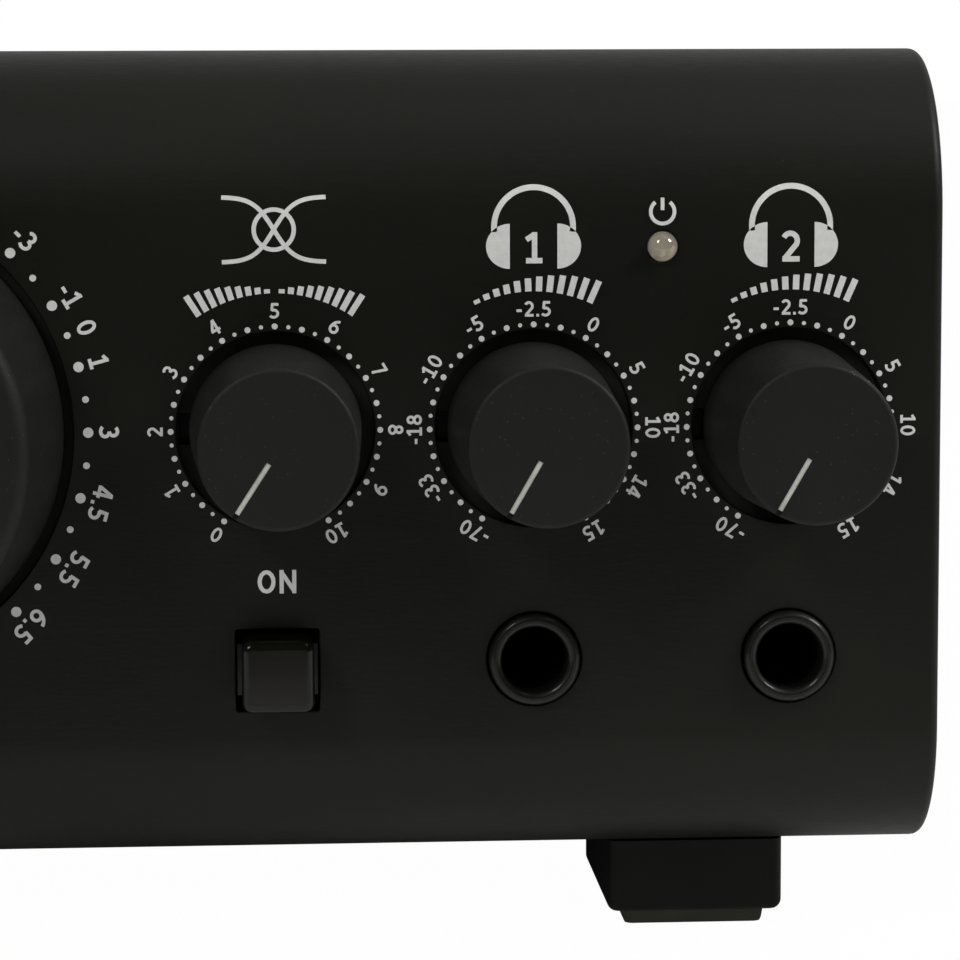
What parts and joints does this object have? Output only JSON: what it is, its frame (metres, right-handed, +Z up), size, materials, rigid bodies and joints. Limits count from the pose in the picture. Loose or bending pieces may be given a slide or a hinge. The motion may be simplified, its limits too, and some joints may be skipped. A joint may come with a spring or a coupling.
{
  "type": "studio monitor controller",
  "caption": "Desktop studio monitor controller: wrapped black case with one large and three small rotary controls, push buttons, headphone sockets and rear connectors.",
  "frame": {"origin": "on the surface under the rubber pads, at the middle of the overall width and depth", "axes": "+X right seen from the front, +Y from the front panel to the rear panel, +Z up"},
  "size_m": [0.215, 0.2482, 0.0886],
  "materials": {
    "case_paint": "satin black powder coat",
    "zinc_steel": "zinc plated sheet",
    "black_screw": "black zinc",
    "foot_plastic": "moulded black",
    "foot_rubber": "matt grey-black rubber",
    "knob_plastic": "soft-touch charcoal",
    "turned_steel": "nickel plated",
    "control_metal": "pressed metal cans",
    "smoked_cap": "smoked translucent, polished",
    "spring_steel": "spring steel",
    "switch_plastic": "moulded black",
    "red_lamp": "red diffused lens",
    "clear_lamp": "water-clear lens",
    "gloss_black": "polished black",
    "contact_gold": "gold plated",
    "board_green": "solder-masked laminate",
    "capacitor_sleeve": "shrunk sleeve",
    "black_aluminium": "black anodised",
    "winding_tape": "wound polyester tape",
    "socket_black": "black die casting",
    "core_white": "moulded, light",
    "nickel": "nickel plated",
    "inlet_plastic": "moulded black",
    "rocker_plastic": "polished black",
    "print_ink": "screen-printed, light grey",
    "fuse_glass": "clear tube"
  },
  "bodies": {
    "case": {"board_screws": "zinc_steel", "board_standoffs": "zinc_steel", "button_lamps": "red_lamp", "button_switches": "switch_plastic", "case_screws": "black_screw", "chassis_tray": "zinc_steel", "connector_screws": "black_screw", "control_nuts": "turned_steel", "control_washers": "turned_steel", "feet": "foot_plastic", "filter_capacitors": "capacitor_sleeve", "foot_pads": "foot_rubber", "foot_screws": "zinc_steel", "front_board": "board_green", "heat_sink": "black_aluminium", "inlet_pins": "nickel", "jack_contacts": "contact_gold", "main_board": "board_green", "mains_inlet": "inlet_plastic", "mono_spring": "spring_steel", "outer_shell": "case_paint", "phones_jacks": "gloss_black", "phono_cores": "core_white", "phono_sleeves": "nickel", "power_led": "clear_lamp", "power_spring": "spring_steel", "rear_panel": "case_paint", "side_panel_left": "case_paint", "side_panel_right": "case_paint", "small_controls": "control_metal", "source_1_spring": "spring_steel", "source_2_spring": "spring_steel", "source_3_spring": "spring_steel", "speaker_a_spring": "spring_steel", "speaker_b_spring": "spring_steel", "transformer": "winding_tape", "transformer_bolt": "zinc_steel", "transformer_plate": "zinc_steel", "volume_control": "control_metal", "xlr_inputs": "socket_black", "xlr_outputs": "socket_black", "xlr_pins": "contact_gold"},
    "volume": {"volume_knob": "knob_plastic", "volume_shaft": "turned_steel"},
    "crossfeed": {"crossfeed_knob": "knob_plastic", "crossfeed_shaft": "turned_steel"},
    "phones_1": {"phones_1_knob": "knob_plastic", "phones_1_shaft": "turned_steel"},
    "phones_2": {"phones_2_knob": "knob_plastic", "phones_2_shaft": "turned_steel"},
    "power_button": {"power_button": "smoked_cap"},
    "speaker_a_button": {"speaker_a_button": "smoked_cap"},
    "speaker_b_button": {"speaker_b_button": "smoked_cap"},
    "mono_button": {"mono_button": "smoked_cap"},
    "source_1_button": {"source_1_button": "smoked_cap"},
    "source_2_button": {"source_2_button": "smoked_cap"},
    "source_3_button": {"source_3_button": "smoked_cap"},
    "mains_rocker": {"mains_rocker": "rocker_plastic"},
    "fuse_drawer": {"fuse_drawer": "inlet_plastic", "fuse": "fuse_glass"}
  },
  "joints": [
    {"name": "volume_turn", "type": "hinge", "parent": "case", "child": "volume", "pos_m": [0, -0.1039, 0.0521], "axis": [0, 1, 0], "range_deg": [0, 300]},
    {"name": "crossfeed_turn", "type": "hinge", "parent": "case", "child": "crossfeed", "pos_m": [0.0425, -0.1039, 0.0521], "axis": [0, 1, 0], "range_deg": [-3, 297]},
    {"name": "phones_1_turn", "type": "hinge", "parent": "case", "child": "phones_1", "pos_m": [0.0675, -0.1039, 0.0521], "axis": [0, 1, 0], "range_deg": [0, 300]},
    {"name": "phones_2_turn", "type": "hinge", "parent": "case", "child": "phones_2", "pos_m": [0.0925, -0.1039, 0.0521], "axis": [0, 1, 0], "range_deg": [0, 300]},
    {"name": "power_push", "type": "slide", "parent": "case", "child": "power_button", "axis": [0, 1, 0], "range_m": [0, 0.003], "stiffness_N_per_m": 150, "springref_m": -0.002, "deforming": ["power_spring"]},
    {"name": "speaker_a_push", "type": "slide", "parent": "case", "child": "speaker_a_button", "axis": [0, 1, 0], "range_m": [0, 0.003], "stiffness_N_per_m": 150, "springref_m": -0.002, "deforming": ["speaker_a_spring"]},
    {"name": "speaker_b_push", "type": "slide", "parent": "case", "child": "speaker_b_button", "axis": [0, 1, 0], "range_m": [0, 0.003], "stiffness_N_per_m": 150, "springref_m": -0.002, "deforming": ["speaker_b_spring"]},
    {"name": "mono_push", "type": "slide", "parent": "case", "child": "mono_button", "axis": [0, 1, 0], "range_m": [0, 0.003], "stiffness_N_per_m": 150, "springref_m": -0.002, "deforming": ["mono_spring"]},
    {"name": "source_1_push", "type": "slide", "parent": "case", "child": "source_1_button", "axis": [0, 1, 0], "range_m": [0, 0.003], "stiffness_N_per_m": 150, "springref_m": -0.002, "deforming": ["source_1_spring"]},
    {"name": "source_2_push", "type": "slide", "parent": "case", "child": "source_2_button", "axis": [0, 1, 0], "range_m": [0, 0.003], "stiffness_N_per_m": 150, "springref_m": -0.002, "deforming": ["source_2_spring"]},
    {"name": "source_3_push", "type": "slide", "parent": "case", "child": "source_3_button", "axis": [0, 1, 0], "range_m": [0, 0.003], "stiffness_N_per_m": 150, "springref_m": -0.002, "deforming": ["source_3_spring"]},
    {"name": "rocker_tilt", "type": "hinge", "parent": "case", "child": "mains_rocker", "pos_m": [0.084, 0.1165, 0.0688], "axis": [-1, 0, 0], "range_deg": [0, 22]},
    {"name": "fuse_drawer_slide", "type": "slide", "parent": "case", "child": "fuse_drawer", "axis": [0, 1, 0], "range_m": [0, 0.014]}
  ]
}
